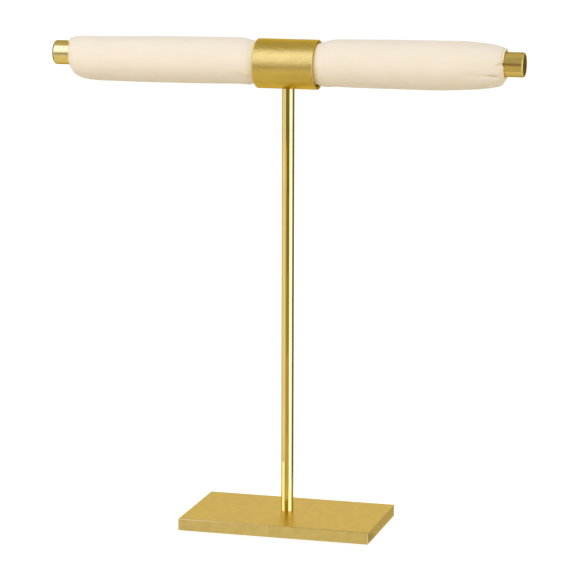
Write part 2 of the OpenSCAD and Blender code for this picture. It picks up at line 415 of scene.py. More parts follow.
def material_of(finish: Finish) -> bpy.types.Material:
    """Returns the material of a finish, which is built the first time."""
    return bpy.data.materials.get(finish.name) or finish.material()


def dress_node(node: str, finish: Finish) -> None:
    """Gives a CAD node its finish.

    Args:
        node: Name of the node.
        finish: What it is made of.
    """
    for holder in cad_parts[node].material_slots:
        holder.material = material_of(finish)
    LOG.info("dressed %s in %s", node, finish.name)


def mesh_object(name: str, mesh: bmesh.types.BMesh, material: bpy.types.Material) -> bpy.types.Object:
    """Makes an object at the origin from a finished bmesh.

    Args:
        name: Name of the object.
        mesh: Its geometry, in the model's frame. It is freed here.
        material: Its material.

    Returns:
        The new object.
    """
    data = bpy.data.meshes.new(name)
    mesh.to_mesh(data)
    mesh.free()
    data.materials.append(material)
    made = bpy.data.objects.new(name, data)
    bpy.context.scene.collection.objects.link(made)
    return made


def new_piece(name: str, mesh: bmesh.types.BMesh, finish: Finish) -> bpy.types.Object:
    """Makes a piece of the stand, smooth shaded and dressed.

    Args:
        name: Name of the piece.
        mesh: Its geometry, in the model's frame. It is freed here.
        finish: What it is made of.

    Returns:
        The new piece.
    """
    for face in mesh.faces:
        face.smooth = True
    return mesh_object(name, mesh, material_of(finish))


def stand_in(piece: bpy.types.Object, node: str) -> None:
    """Declares that a piece rides on the stand and is shown in a CAD node's place.

    Args:
        piece: The piece.
        node: Name of the node.
    """
    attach(piece, BODY)
    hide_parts(node)
    LOG.info("%s stands in for %s: %d faces", piece.name, node, len(piece.data.polygons))


def drawn_out(mesh: bmesh.types.BMesh) -> list[bmesh.types.BMVert]:
    """Extrudes the open edges of a mesh in place.

    Args:
        mesh: The mesh.

    Returns:
        The new points, which still lie on the old ones.
    """
    rims = [edge for edge in mesh.edges if edge.is_boundary]
    grown = bmesh.ops.extrude_edge_only(mesh, edges=rims)["geom"]
    return [item for item in grown if isinstance(item, bmesh.types.BMVert)]


@dataclass
class MetalStand:
    """The base, the post, the sleeve, the bar and their hidden fasteners, as the CAD model has them."""

    finishes: dict[str, Finish] = field(
        default_factory=lambda: {
            "base_plate": BASE_GOLD,
            "post": POST_GOLD,
            "sleeve": SLEEVE_GOLD,
            "bar": BAR_GOLD,
            "base_screw": SCREW_ZINC,
            "sleeve_screw": SCREW_ZINC,
            "base_pad": PAD_FOAM,
        }
    )

    def dress(self) -> None:
        """Gives every metal node and the pad its finish."""
        for node, finish in self.finishes.items():
            dress_node(node, finish)


@dataclass(frozen=True)
class Crease:
    """A crease pressed into the roll, along a line between two places on its outside.

    A place is its distance along the bar and its angle, 0 at the front and 90 degrees on top.
    """

    start: tuple[float, float]
    end: tuple[float, float]
    depth: float
    width: float
    sharpness: float = 1.0

    def relief(self, x: float, turn: float, radius: float) -> float:
        """Depth of the crease.

        Args:
            x: Place along the roll.
            turn: Angle round the roll, in radians.
            radius: Radius of the roll there.

        Returns:
            How far the cloth stands out there, which is less than zero in the crease.
        """
        first = Vector((self.start[0], radius * math.radians(self.start[1])))
        last = Vector((self.end[0], radius * math.radians(self.end[1])))
        here = Vector((x, radius * wrapped(turn)))
        line = last - first
        share = min(max((here - first).dot(line) / line.length_squared, 0.0), 1.0)
        off = (here - first - line * share).length / self.width
        if off > 4:
            return 0.0
        taper = 0.25 + 0.75 * math.sin(math.pi * share)
        return -self.depth * taper * math.exp(-(off ** (2.0 / self.sharpness)))


def resampled(grid: np.ndarray, count: int, closed: bool) -> np.ndarray:
    """Resamples a grid of vectors by a smooth curve.

    Args:
        grid: Values, by row, column and component.
        count: How many rows to make of an open grid, or columns of a closed one.
        closed: True to resample the columns, whose last is followed by the first.

    Returns:
        The resampled grid.
    """
    rows = np.swapaxes(grid, 0, 1) if closed else grid
    have = len(rows)
    places = np.arange(count) * (have / count if closed else (have - 1) / (count - 1))
    start = np.floor(places).astype(int)
    share = (places - start)[:, None, None]
    near = [start + step for step in (-1, 0, 1, 2)]
    index = [spot % have if closed else np.clip(spot, 0, have - 1) for spot in near]
    weights = (
        ((2 - share) * share - 1) * share / 2,
        ((3 * share - 5) * share * share + 2) / 2,
        ((4 - 3 * share) * share + 1) * share / 2,
        (share - 1) * share * share / 2,
    )
    made = sum(weight * rows[picked] for weight, picked in zip(weights, index))
    return np.swapaxes(made, 0, 1) if closed else made


@dataclass(frozen=True)
class ClothTrial:
    """A short cloth simulation, in which a coarse copy of the gathered cover settles.

    The copy is made larger by the scale, since the solver works best in metres. Its cut is wider
    than its place by the excess at the cuffs, which is what makes gathered cloth buckle.
    """

    rings: int = 150
    points: int = 112
    frames: int = 16
    scale: float = 20.0
    excess: float = 0.08
    excess_reach: float = 26 * MM
    hold: float = 0.05
    held_by_rim: float = 1 * MM
    held_by_hem: float = 0.5 * MM
    quality: int = 5
    mass: float = 0.3
    air_damping: float = 2.0
    stretch_stiffness: float = 20.0
    shear_stiffness: float = 8.0
    bending_stiffness: float = 0.6
    pressure: float = 2.0
    gravity: float = 0.02
    most: float = 0.28 * MM

    def run(self, data: bpy.types.Mesh, widen: list[float], held: list[float]) -> list[Vector]:
        """Runs the simulation.

        Args:
            data: The coarse cover, in the model's frame. It is removed here.
            widen: How much wider the cut is at each point.
            held: How firmly each point is held, from 0 to 1.

        Returns:
            How far each point moved, never more than the cap.
        """
        scene = bpy.context.scene
        cloth = bpy.data.objects.new("cloth_trial", data)
        scene.collection.objects.link(cloth)
        middle = sum((vertex.co for vertex in data.vertices), Vector()) / len(data.vertices)
        for vertex in data.vertices:
            vertex.co = (vertex.co - middle) * self.scale
        starts = [vertex.co.copy() for vertex in data.vertices]
        cloth.shape_key_add(name="placed")
        cut = cloth.shape_key_add(name="cut")
        for point, start, share in zip(cut.data, starts, widen):
            point.co = Vector((start.x, start.y * (1 + share), start.z * (1 + share)))
        group = cloth.vertex_groups.new(name="held")
        for number, firmness in enumerate(held):
            group.add([number], firmness, "REPLACE")
        modifier = cloth.modifiers.new("cloth", "CLOTH")
        settings = modifier.settings
        settings.quality = self.quality
        settings.mass = self.mass
        settings.air_damping = self.air_damping
        settings.tension_stiffness = settings.compression_stiffness = self.stretch_stiffness
        settings.shear_stiffness = self.shear_stiffness
        settings.bending_stiffness = self.bending_stiffness
        settings.vertex_group_mass = group.name
        settings.rest_shape_key = cut
        settings.use_pressure = True
        settings.uniform_pressure_force = self.pressure
        settings.effector_weights.gravity = self.gravity
        for number in range(1, self.frames + 1):
            scene.frame_set(number)
        settled = cloth.evaluated_get(bpy.context.evaluated_depsgraph_get()).data.vertices
        moves = []
        for vertex, start in zip(settled, starts):
            move = (vertex.co - start) / self.scale
            moves.append(move * self.most / (self.most + move.length))
        scene.frame_set(1)
        bpy.data.objects.remove(cloth)
        bpy.data.meshes.remove(data)
        return moves


def ends(left: float, right: float) -> dict[Side, float]:
    """Field of a dataclass that holds one value for each end of the roll."""
    return field(default_factory=lambda: {Side.LEFT: left, Side.RIGHT: right})


@dataclass
class PaddedRoll:
    """The cloth roll on the bar: a cut of cloth, rolled into a tube, sewn, and gathered at both cuffs.

    Tilt and the notch's place and spread are in degrees, and the other sizes in metres. A seed is
    a place in the noise.
    """

    belly: dict[Side, float] = ends(9.42 * MM, 9.8 * MM)
    belly_at: dict[Side, float] = ends(38 * MM, 58 * MM)
    belly_curve: float = 2.0
    shoulder: dict[Side, float] = ends(10 * MM, 26 * MM)
    bluntness: dict[Side, float] = ends(0.85, 0.7)
    gather: dict[Side, float] = ends(5 * MM, 9 * MM)
    skew: dict[Side, float] = ends(1.6 * MM, 0.0)
    hem_inset: dict[Side, float] = ends(0.3 * MM, 1.06 * MM)
    sag_length: dict[Side, float] = ends(18 * MM, 2.5 * MM)
    drop: dict[Side, float] = ends(1.09 * MM, 1.4 * MM)
    tilt: dict[Side, float] = ends(0.7, 0.25)
    end_lift: dict[Side, float] = ends(0.0, 0.24 * MM)
    lift_from: float = 30 * MM
    lift_length: float = 15 * MM
    neck: float = 8.65 * MM
    neck_length: float = 8 * MM
    neck_pinch: dict[Side, float] = ends(0.7 * MM, 0.5 * MM)
    pinch_reach: float = 2.5 * MM
    cloth: float = 0.5 * MM
    cuff: float = 0.6 * MM
    cuff_gap: float = 0.5 * MM
    thread_inset: float = 0.3 * MM
    wadding_inset: float = 0.76 * MM
    bore_gap: float = 0.12 * MM
    # Reaches of the painted warm light beside the sleeve's rims and at the hems.
    painted_rim_glow: float = 1.9 * MM
    painted_hem_glow: float = 1.1 * MM
    skew_reach: float = 4 * MM
    hem_wave: float = 0.3 * MM
    wave_reach: float = 1 * MM
    hem_turns: tuple[tuple[float, float], ...] = (
        (0.12 * MM, 0.06 * MM),
        (0.2 * MM, 0.02 * MM),
        (0.35 * MM, -0.08 * MM),
        (0.7 * MM, -0.3 * MM),
    )
    notch_turn: float = 7.2
    notch_spread: float = 7.0
    notch_depth: float = 0.65 * MM
    pleats: int = 26
    pleat_depth: float = 0.45 * MM
    pleat_seed: dict[Side, float] = ends(11.0, 37.0)
    gather_seed: dict[Side, float] = ends(6.0, 42.0)
    fold_depth: float = 0.1 * MM
    fold_reach: float = 24 * MM
    fold_seed: dict[Side, float] = ends(3.0, 21.0)
    lump_depth: float = 0.06 * MM
    lump_length: float = 22 * MM
    dent_gap: float = 0.5 * MM
    dent_slope: float = 3 * MM
    rim_clearance: float = 0.5 * MM
    soft_gap: float = 0.15 * MM
    creases: tuple[Crease, ...] = (
        Crease((72.5 * MM, -20.5), (81.5 * MM, -23), 0.35 * MM, 1.1 * MM),
        Crease((80.5 * MM, -22.5), (87.3 * MM, -29.5), 0.7 * MM, 0.75 * MM, 1.5),
        Crease((83 * MM, -23.6), (86.6 * MM, -27.4), 1.1 * MM, 0.42 * MM, 1.5),
        Crease((82 * MM, -34), (87.5 * MM, -53), 0.3 * MM, 1.0 * MM),
        Crease((83.4 * MM, 20), (87.8 * MM, 18.5), 0.14 * MM, 0.8 * MM),
        Crease((83.2 * MM, -1), (87.8 * MM, -9), 0.14 * MM, 0.7 * MM),
        Crease((86.4 * MM, 7), (88.6 * MM, 6.5), 0.4 * MM, 0.45 * MM, 1.5),
        Crease((-20.5 * MM, -28), (-13.6 * MM, -53), 0.75 * MM, 1.7 * MM),
    )
    rings_along: int = 300
    points_round: int = 288
    crowding: tuple[float, float] = (0.1, 0.02)
    thread_sides: int = 10
    thread_steps: int = 96
    trial: ClothTrial = ClothTrial()

    def __post_init__(self) -> None:
        """Reads the bar, the sleeve and the cuffs' places from the frame."""
        self.bar_axis = centre_of("bar").z
        self.bar_radius = size_of("bar").z / 2
        self.sleeve_axis = centre_of("sleeve").z
        self.sleeve_half = size_of("sleeve").x / 2
        low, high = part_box("cover")
        self.reach = {
            Side.LEFT: -low.x - self.hem_inset[Side.LEFT],
            Side.RIGHT: high.x - self.hem_inset[Side.RIGHT],
        }
        self.screw_low, self.screw_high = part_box("sleeve_screw")
        self.hem = self.bar_radius + self.cuff_gap + self.cloth + self.pleat_depth / 2

    @staticmethod
    def side(x: float) -> Side:
        """Returns the end of the bar that x lies on."""
        return Side.LEFT if x < 0 else Side.RIGHT

    def from_hem(self, x: float) -> float:
        """Returns how far x lies inside its cuff."""
        return self.reach[self.side(x)] - abs(x)

    def shoulder_share(self, x: float) -> float:
        """Returns how full the roll's shoulder is at x, from 0 at the cuff to 1."""
        end = self.side(x)
        return bulge((self.from_hem(x) - self.cuff) / self.shoulder[end]) ** self.bluntness[end]

    def from_rim(self, x: float) -> float:
        """Returns how far x lies outside the sleeve's rim."""
        return abs(x) - self.sleeve_half

    def pinch(self, x: float) -> float:
        """Returns how far the sleeve's rim presses the roll in at x."""
        return self.neck_pinch[self.side(x)] * math.exp(-((self.from_rim(x) / self.pinch_reach) ** 2))

    def radius(self, x: float) -> float:
        """Radius of the roll, without folds.

        Args:
            x: Place along the roll.

        Returns:
            Its radius there.
        """
        end = self.side(x)
        belly = self.belly[end] - (abs(x) - self.belly_at[end]) ** 2 / (2 * self.belly_curve)
        full = self.hem + (belly - self.hem) * self.shoulder_share(x)
        swell = bulge(self.from_rim(x) / self.neck_length)
        return self.neck + (full - self.neck) * swell - self.pinch(x)

    def axis(self, x: float) -> float:
        """Height of the roll's middle, which hangs below the bar and rises a little at the right end.

        Args:
            x: Place along the roll.

        Returns:
            The height there.
        """
        end = self.side(x)
        sag = bulge((self.from_hem(x) - self.cuff / 2) / self.sag_length[end])
        lift = self.end_lift[end] * ease((self.lift_from - self.from_hem(x)) / self.lift_length)
        slope = x * math.tan(math.radians(self.tilt[end]))
        hung = self.bar_axis - (self.drop[end] - slope - lift) * sag
        out = ease(self.from_rim(x) / self.neck_length)
        return self.sleeve_axis + (hung - self.sleeve_axis) * out + self.pinch(x) / 2

    def ridge(self, end: Side, turn: float) -> float:
        """Height of the pleats at the hem: rounded ridges with sharp valleys, unevenly spaced.

        Args:
            end: The end of the bar.
            turn: Angle round the roll, 0 at the front and a quarter turn on top.

        Returns:
            A height from 0 in a valley to about 1 on a ridge.
        """
        place = noise_spot(turn, 1.3, self.pleat_seed[end])
        warp = turn + 0.35 * noise.noise(place)
        return abs(math.sin(warp * self.pleats / 2)) ** 0.8 * (0.85 + 0.5 * noise.noise(place * 2.5))

    def pleat(self, x: float, turn: float) -> float:
        """Depth of the gathered pleats.

        Args:
            x: Place along the roll.
            turn: Angle round the roll, 0 at the front and a quarter turn on top.

        Returns:
            How far the cloth stands out there.
        """
        inside = self.from_hem(x)
        end = self.side(x)
        if inside > self.gather[end] * 1.3:
            return 0.0
        place = noise_spot(turn, 2.2, self.gather_seed[end])
        own_reach = self.gather[end] * (0.6 + 0.7 * abs(noise.noise(place)))
        fade = max(1 - inside / own_reach, 0.0) ** 1.8
        return self.pleat_depth * (self.ridge(end, turn) - 0.5) * fade

    def fold(self, x: float, turn: float) -> float:
        """Depth of the soft folds that run from the cuff into the roll, and of the creases.

        Args:
            x: Place along the roll.
            turn: Angle round the roll.

        Returns:
            How far the cloth stands out there.
        """
        share = min(self.from_hem(x) / self.fold_reach, 1.0)
        place = noise_spot(turn, 2.6, self.fold_seed[self.side(x)] + x * 12)
        slack = noise_spot(turn, 1.2, x / self.lump_length)
        soft = self.fold_depth * 2.2 * noise.noise(place) * math.sin(math.pi * share)
        lumps = self.lump_depth * noise.noise(slack) * min(share * 2, 1.0)
        around = self.belly[Side.LEFT]
        return soft + lumps + sum(crease.relief(x, turn, around) for crease in self.creases)

    def dent(self, x: float, turn: float) -> float:
        """Depth of the dent over the sleeve screw's head.

        Args:
            x: Place along the roll.
            turn: Angle round the roll.

        Returns:
            How far the cloth is pressed in there.
        """
        rise = self.screw_high.z - (self.sleeve_axis - self.neck)
        inner = (self.screw_high.x - self.screw_low.x) / 2 + self.dent_gap
        off = math.hypot(x, self.neck * wrapped(turn - 1.5 * math.pi))
        return rise * ease((inner + self.dent_slope - off) / self.dent_slope)

    def place(self, x: float, turn: float, inset: float) -> Vector:
        """Point of the cloth.

        Args:
            x: Place along the roll.
            turn: Angle round the roll.
            inset: Depth under the cloth's outer face.

        Returns:
            The point in the model's frame.
        """
        relief = self.pleat(x, turn) + self.fold(x, turn) - self.dent(x, turn)
        if abs(x) < self.sleeve_half + self.rim_clearance:
            relief = min(relief, 0.0)
        out = max(self.radius(x) + relief - inset, self.bar_radius + self.soft_gap)
        end = self.side(x)
        wave = self.hem_wave * (self.ridge(end, turn) - 0.5)
        along = x + wave * max(1 - self.from_hem(x) / self.wave_reach, 0.0) * end.value
        along -= self.slant(end, turn) * math.exp(-((self.from_hem(x) / self.skew_reach) ** 2))
        return Vector((along, -out * math.cos(turn), self.axis(x) + out * math.sin(turn)))

    def painted_glow(self, x: float) -> float:
        """Share of painted warm light in the cloth's colour beside a rim or at a hem, for the gold's
        light on it.

        Args:
            x: Place along the roll.

        Returns:
            The share there, from 0 to 1.
        """
        rim = math.exp(-((max(self.from_rim(x), 0.0) / self.painted_rim_glow) ** 2))
        hem = math.exp(-((max(self.from_hem(x), 0.0) / self.painted_hem_glow) ** 2))
        return min(rim + 0.6 * hem, 1.0)

    def slant(self, end: Side, turn: float) -> float:
        """How far the hem lies to the right of a straight one.

        Args:
            end: The end of the bar.
            turn: Angle round the roll.

        Returns:
            The distance from the cuff's skew, and from the notch in the right one.
        """
        askew = self.skew[end] * (1 + math.cos(turn)) / 2 * end.value
        if end is Side.LEFT:
            return askew
        off = (math.degrees(turn) - self.notch_turn + 180) % 360 - 180
        return askew + self.notch_depth * math.exp(-((off / self.notch_spread) ** 2))

    def spaced(self, share: float) -> float:
        """Spaces the rings along the roll, closer at the cuffs.

        Args:
            share: Share of the cloth's length, from 0 at the left to 1.

        Returns:
            Its place along the roll.
        """
        low, high = -self.reach[Side.LEFT], self.reach[Side.RIGHT]
        first, second = self.crowding
        swing = share - first * math.sin(2 * math.pi * share) - second * math.sin(4 * math.pi * share)
        return low + (high - low) * swing

    def roll_cloth(self, rings: int, points: int, inset: float) -> bmesh.types.BMesh:
        """Rolls a cut of cloth round the padding and sews it along its seam.

        Args:
            rings: Steps along the roll.
            points: Steps round the roll.
            inset: Depth under the cover's outer face.

        Returns:
            The open tube, with each point's step along and round it in the layers "ring" and "point".
        """
        mesh = bmesh.new()
        bmesh.ops.create_grid(mesh, x_segments=rings, y_segments=points, size=0.5)
        ring = mesh.verts.layers.int.new("ring")
        point = mesh.verts.layers.int.new("point")
        for vertex in mesh.verts:
            along, around = vertex.co.x + 0.5, vertex.co.y + 0.5
            vertex[ring], vertex[point] = round(along * rings), round(around * points) % points
            vertex.co = self.place(self.spaced(along), around * 2 * math.pi, inset)
        bmesh.ops.remove_doubles(mesh, verts=mesh.verts, dist=SAME_POINT)
        return mesh

    def settle(self, mesh: bmesh.types.BMesh) -> None:
        """Moves the cover as a coarse copy of it moves in a short cloth simulation.

        Args:
            mesh: The open tube of the cover.
        """
        trial = self.trial
        coarse = self.roll_cloth(trial.rings, trial.points, 0.0)
        ring, point = (coarse.verts.layers.int[name] for name in ("ring", "point"))
        steps = [(vertex[ring], vertex[point]) for vertex in coarse.verts]
        widen, held = [], []
        for step, _ in steps:
            x = self.spaced(step / trial.rings)
            widen.append(trial.excess * max(1 - self.from_hem(x) / trial.excess_reach, 0.0))
            in_sleeve = abs(x) < self.sleeve_half + trial.held_by_rim
            in_cuff = self.from_hem(x) < trial.held_by_hem
            held.append(1.0 if in_sleeve or in_cuff else trial.hold)
        data = bpy.data.meshes.new("cloth_trial")
        coarse.to_mesh(data)
        coarse.free()
        grid = np.zeros((trial.rings + 1, trial.points, 3))
        for (row, column), move in zip(steps, trial.run(data, widen, held)):
            grid[row, column] = move
        LOG.info("cloth settled by up to %.2f mm", np.linalg.norm(grid, axis=2).max() / MM)
        fine = resampled(resampled(grid, self.rings_along + 1, False), self.points_round, True)
        ring, point = (mesh.verts.layers.int[name] for name in ("ring", "point"))
        for vertex in mesh.verts:
            vertex.co += Vector(fine[vertex[ring], vertex[point]])

    def turn_in(self, mesh: bmesh.types.BMesh) -> None:
        """Turns the cloth in at both cuffs, down to the bar and back under itself.

        Args:
            mesh: The open tube, whose two edges are extended.
        """
        for drop, shift in self.hem_turns:
            for vertex in drawn_out(mesh):
                away = Vector((0, vertex.co.y, vertex.co.z - self.bar_axis))
                target = max(away.length - drop, self.bar_radius + self.bore_gap)
                vertex.co -= away * (1 - target / away.length)
                vertex.co.x += self.side(vertex.co.x).value * shift

    def wadding(self) -> None:
        low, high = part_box("padding")
        first, last = low.x + self.skew[Side.LEFT], high.x - self.wadding_inset
        rings, points = self.rings_along // 4, self.points_round // 6
        mesh = bmesh.new()
        bmesh.ops.create_grid(mesh, x_segments=rings, y_segments=points, size=0.5)
        for vertex in mesh.verts:
            share, around = vertex.co.x + 0.5, vertex.co.y + 0.5
            x = first + (last - first) * share
            vertex.co = self.place(x, around * 2 * math.pi, self.cloth + self.soft_gap)
        bmesh.ops.remove_doubles(mesh, verts=mesh.verts, dist=SAME_POINT)
        for vertex in drawn_out(mesh):
            away = Vector((0, vertex.co.y, vertex.co.z - self.bar_axis))
            vertex.co -= away * (1 - (self.bar_radius + self.bore_gap) / away.length)
        bores = [edge for edge in mesh.edges if edge.is_boundary]
        bmesh.ops.bridge_loops(mesh, edges=bores)
        bmesh.ops.recalc_face_normals(mesh, faces=mesh.faces)
        stand_in(new_piece("wadding_tube", mesh, WADDING), "padding")

    def draw_thread(self, end: Side) -> None:
        """Args:
            end: The end of the bar.
        """
        node = f"draw_thread_{end.name.lower()}"
        across = size_of(node).x
        ring = size_of(node).z / 2 - across / 2
        mesh = bmesh.new()
        bmesh.ops.create_circle(mesh, segments=self.thread_sides, radius=across / 2)
        start = ((self.reach[end] - self.thread_inset) * end.value, -ring, 0)
        bmesh.ops.translate(mesh, vec=start, verts=mesh.verts)
        drawn = mesh.verts[:] + mesh.edges[:]
        steps = self.thread_steps
        bmesh.ops.spin(mesh, geom=drawn, axis=(1, 0, 0), angle=2 * math.pi, steps=steps, use_merge=True)
        bmesh.ops.remove_doubles(mesh, verts=mesh.verts, dist=SAME_POINT)
        for vertex in mesh.verts:
            turn = math.atan2(vertex.co.z, -vertex.co.y)
            vertex.co += Vector((-self.slant(end, turn), 0, self.bar_axis))
        bmesh.ops.recalc_face_normals(mesh, faces=mesh.faces)
        stand_in(new_piece(f"cuff_thread_{end.name.lower()}", mesh, DRAW_THREAD), node)

    def build(self) -> None:
        mesh = self.roll_cloth(self.rings_along, self.points_round, 0.0)
        self.settle(mesh)
        for name in ("ring", "point"):
            mesh.verts.layers.int.remove(mesh.verts.layers.int[name])
        self.turn_in(mesh)
        # Painted light: each point's share of the warm glow painted into the cloth's colour.
        painted_glow = mesh.verts.layers.float.new("painted_glow")
        for vertex in mesh.verts:
            vertex[painted_glow] = self.painted_glow(vertex.co.x)
        bmesh.ops.recalc_face_normals(mesh, faces=mesh.faces)
        cover = new_piece("roll_cover", mesh, COVER_CLOTH)
        stand_in(cover, "cover")
        for end in Side:
            self.draw_thread(end)
        self.wadding()


@dataclass(frozen=True)
class Softbox:
    """A soft lamp that looks at the stand. Azimuth 0 is the front and 90 is the right."""

    name: str
    azimuth: float
    elevation: float
    distance: float
    width: float
    height: float
    watts: float

    def build(self, target: Vector) -> None:
        """Makes the lamp, seen by cloth and floor, and not by the camera or the metal.

        Args:
            target: The point that it looks at.
        """
        lamp = bpy.data.lights.new(self.name, "AREA")
        lamp.shape = "RECTANGLE"
        lamp.size, lamp.size_y, lamp.energy = self.width, self.height, self.watts
        holder = bpy.data.objects.new(self.name, lamp)
        bpy.context.scene.collection.objects.link(holder)
        holder.matrix_world = facing(target, self.azimuth, self.elevation, self.distance)
        holder.visible_camera = False
        holder.visible_glossy = False


@dataclass(frozen=True)
class Card:
    """A lamp's face or a table top that only the metal sees."""

    name: str
    matrix: Matrix
    width: float
    height: float
    color: Color

    def build(self) -> None:
        mesh = bmesh.new()
        bmesh.ops.create_grid(mesh, x_segments=1, y_segments=1, size=0.5)
        scale = Matrix.Diagonal((self.width, self.height, 1, 1))
        bmesh.ops.transform(mesh, matrix=self.matrix @ scale, verts=mesh.verts)
        stage_light(self.name, mesh, self.color, one_sided=False)


@dataclass(frozen=True)
class Screen:
    """An upright card in front of the stand or beside it, from one height to another."""

    name: str
    x: float
    y: float
    low: float
    high: float
    width: float
    color: Color

    def build(self) -> None:
        """Makes the screen, facing the front and the back."""
        middle = Matrix.Translation((self.x, self.y, (self.low + self.high) / 2))
        upright = Matrix.Rotation(math.pi / 2, 4, "X")
        Card(self.name, middle @ upright, self.width, self.high - self.low, self.color).build()


@dataclass(frozen=True)
class Panel:
    """A part of the studio that the metal mirrors, as ranges of direction and a brightness.

    Azimuth 0 is the front and 90 the right; both ranges are in degrees.
    """

    azimuth: tuple[float, float]
    elevation: tuple[float, float]
    color: Color
    softness: float = 4.0


@dataclass(frozen=True)
class Collar:
    """A glow close round a part of the post, that only the post inside it sees.

    The post mirrors what is 10 degrees below its own height, which near the foot is the base.
    """

    name: str
    azimuth: tuple[float, float]
    color: Color
    high: float
    radius: float = 4.5 * MM
    low: float = 6.05 * MM

    def build(self) -> None:
        mesh = bmesh.new()
        bmesh.ops.create_grid(mesh, x_segments=24, y_segments=1, size=0.5)
        for vertex in mesh.verts:
            share = vertex.co.x + 0.5
            turn = math.radians(self.azimuth[0] * (1 - share) + self.azimuth[1] * share)
            height = self.low + (vertex.co.y + 0.5) * (self.high - self.low)
            vertex.co = (math.sin(turn) * self.radius, -math.cos(turn) * self.radius, height)
        for face in mesh.faces:
            face.normal_update()
            if face.normal.dot(face.calc_center_median()) > 0:
                face.normal_flip()
        stage_light(self.name, mesh, self.color, one_sided=True)


def stage_light(name: str, mesh: bmesh.types.BMesh, color: Color, one_sided: bool) -> None:
    """Args:
        name: Name of the light.
        mesh: Its shape, which is freed here.
        color: What it shows, where 1 is white.
        one_sided: Whether it is clear from the side that its faces look away from.
    """
    made, desk = blank_material(name)
    light = desk.place("ShaderNodeEmission", {"Color": (*color, 1), "Strength": 1.0})
    if one_sided:
        clear = desk.place("ShaderNodeBsdfTransparent").outputs[0]
        behind = desk.place("ShaderNodeNewGeometry").outputs["Backfacing"]
        light = desk.place("ShaderNodeMixShader", {0: behind, 1: light.outputs[0], 2: clear})
    desk.place("ShaderNodeOutputMaterial", {"Surface": light.outputs[0]})
    card = mesh_object(name, mesh, made)
    for ray in ("camera", "diffuse", "transmission", "volume_scatter", "shadow"):
        setattr(card, f"visible_{ray}", False)


def facing(target: Vector, azimuth: float, elevation: float, distance: float) -> Matrix:
    """Place and turn of something that looks at a target.

    Args:
        target: The point that it looks at.
        azimuth: Degrees round the target, 0 at the front and 90 at the right.
        elevation: Degrees above the horizon.
        distance: Distance from the target.

    Returns:
        Its matrix, with -Z towards the target.
    """
    a, e = math.radians(azimuth), math.radians(elevation)
    back = Vector((math.sin(a) * math.cos(e), -math.cos(a) * math.cos(e), math.sin(e)))
    turn = (-back).to_track_quat("-Z", "Y").to_matrix().to_4x4()
    return Matrix.Translation(target + back * distance) @ turn


